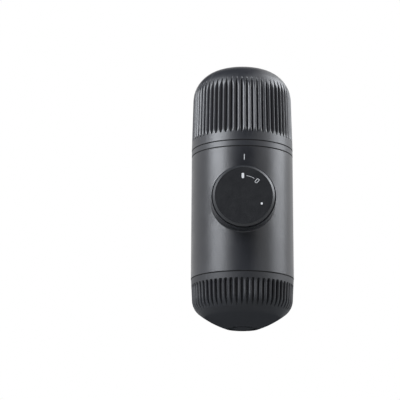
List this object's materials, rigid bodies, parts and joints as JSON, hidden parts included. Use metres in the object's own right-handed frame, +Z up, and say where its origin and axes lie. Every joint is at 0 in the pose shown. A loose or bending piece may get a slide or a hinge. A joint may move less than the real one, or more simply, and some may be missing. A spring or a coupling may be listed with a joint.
{
  "type": "handheld manual espresso maker",
  "caption": "Handheld pump espresso maker with a ribbed screw-on water tank, a side pump knob, a screw-on outlet head with its filter basket, and a ribbed drinking cup as end cap.",
  "frame": {"origin": "centre of the cup's foot, on the surface that it stands on", "axes": "+Z up the body's axis from the cup to the water tank, pump knob facing -Y, +X to the right seen from the knob's side"},
  "size_m": [0.06, 0.071, 0.1552],
  "materials": {
    "shell_plastic": "satin moulded",
    "collar_plastic": "smooth moulded",
    "tank_plastic": "satin moulded",
    "cup_plastic": "satin moulded",
    "knob_plastic": "satin moulded",
    "face_plastic": "fine texture",
    "inner_plastic": "moulded",
    "deck_plastic": "moulded",
    "piston_plastic": "moulded",
    "steel": "turned and pressed",
    "spring_steel": "drawn wire",
    "silicone": "soft moulded"
  },
  "bodies": {
    "body": {"body_shell": "shell_plastic", "collar_ring": "collar_plastic", "tank_neck": "deck_plastic", "inlet_filter": "steel", "air_valve": "silicone", "suction_duct": "inner_plastic", "pump_frame": "inner_plastic", "frame_screws": "steel", "pump_block": "inner_plastic", "block_screws": "steel", "pump_barrel": "steel", "barrel_seal": "silicone", "suction_ball": "steel", "suction_spring": "spring_steel", "delivery_ball": "steel", "delivery_spring": "spring_steel", "delivery_duct": "steel", "brew_socket": "deck_plastic", "socket_screws": "steel", "shower_plate": "steel", "shower_screw": "steel", "brew_gasket": "silicone", "return_spring": "spring_steel"},
    "piston": {"piston": "piston_plastic", "piston_rings": "silicone", "thrust_washer": "steel", "knob_screw": "steel"},
    "knob": {"knob_cap": "knob_plastic", "knob_sleeve": "inner_plastic", "sleeve_screws": "steel", "knob_face": "face_plastic"},
    "tank_seal": {"tank_seal": "silicone"},
    "tank": {"tank": "tank_plastic"},
    "basket": {"filter_basket": "steel"},
    "head": {"outlet_head": "deck_plastic", "outlet_spout": "silicone", "cup_o_ring": "silicone"},
    "cup": {"cup": "cup_plastic"}
  },
  "joints": [
    {"name": "piston_stroke", "type": "slide", "parent": "body", "child": "piston", "axis": [0, -1, 0], "range_m": [0, 0.016], "deforming": ["return_spring"]},
    {"name": "knob_turn", "type": "hinge", "parent": "piston", "child": "knob", "pos_m": [0, 0, 0.0696], "axis": [0, -1, 0], "range_deg": [0, 43]},
    {"name": "tank_lift", "type": "slide", "parent": "body", "child": "tank_seal", "axis": [0, 0, 1], "range_m": [0, 0.006]},
    {"name": "tank_turn", "type": "hinge", "parent": "tank_seal", "child": "tank", "pos_m": [0, 0, 0.1052], "axis": [0, 0, 1], "range_deg": [0, 360]},
    {"name": "head_lower", "type": "slide", "parent": "body", "child": "basket", "axis": [0, 0, -1], "range_m": [0, 0.006]},
    {"name": "head_turn", "type": "hinge", "parent": "basket", "child": "head", "pos_m": [0, 0, 0.0285], "axis": [0, 0, -1], "range_deg": [0, 360]},
    {"name": "cup_pull", "type": "slide", "parent": "head", "child": "cup", "axis": [0, 0, -1], "range_m": [0, 0.022]}
  ],
  "couplings": [
    {"joint": "tank_turn", "follows": "tank_lift", "rad_per_m": 1047.2},
    {"joint": "head_turn", "follows": "head_lower", "rad_per_m": 1047.2}
  ]
}
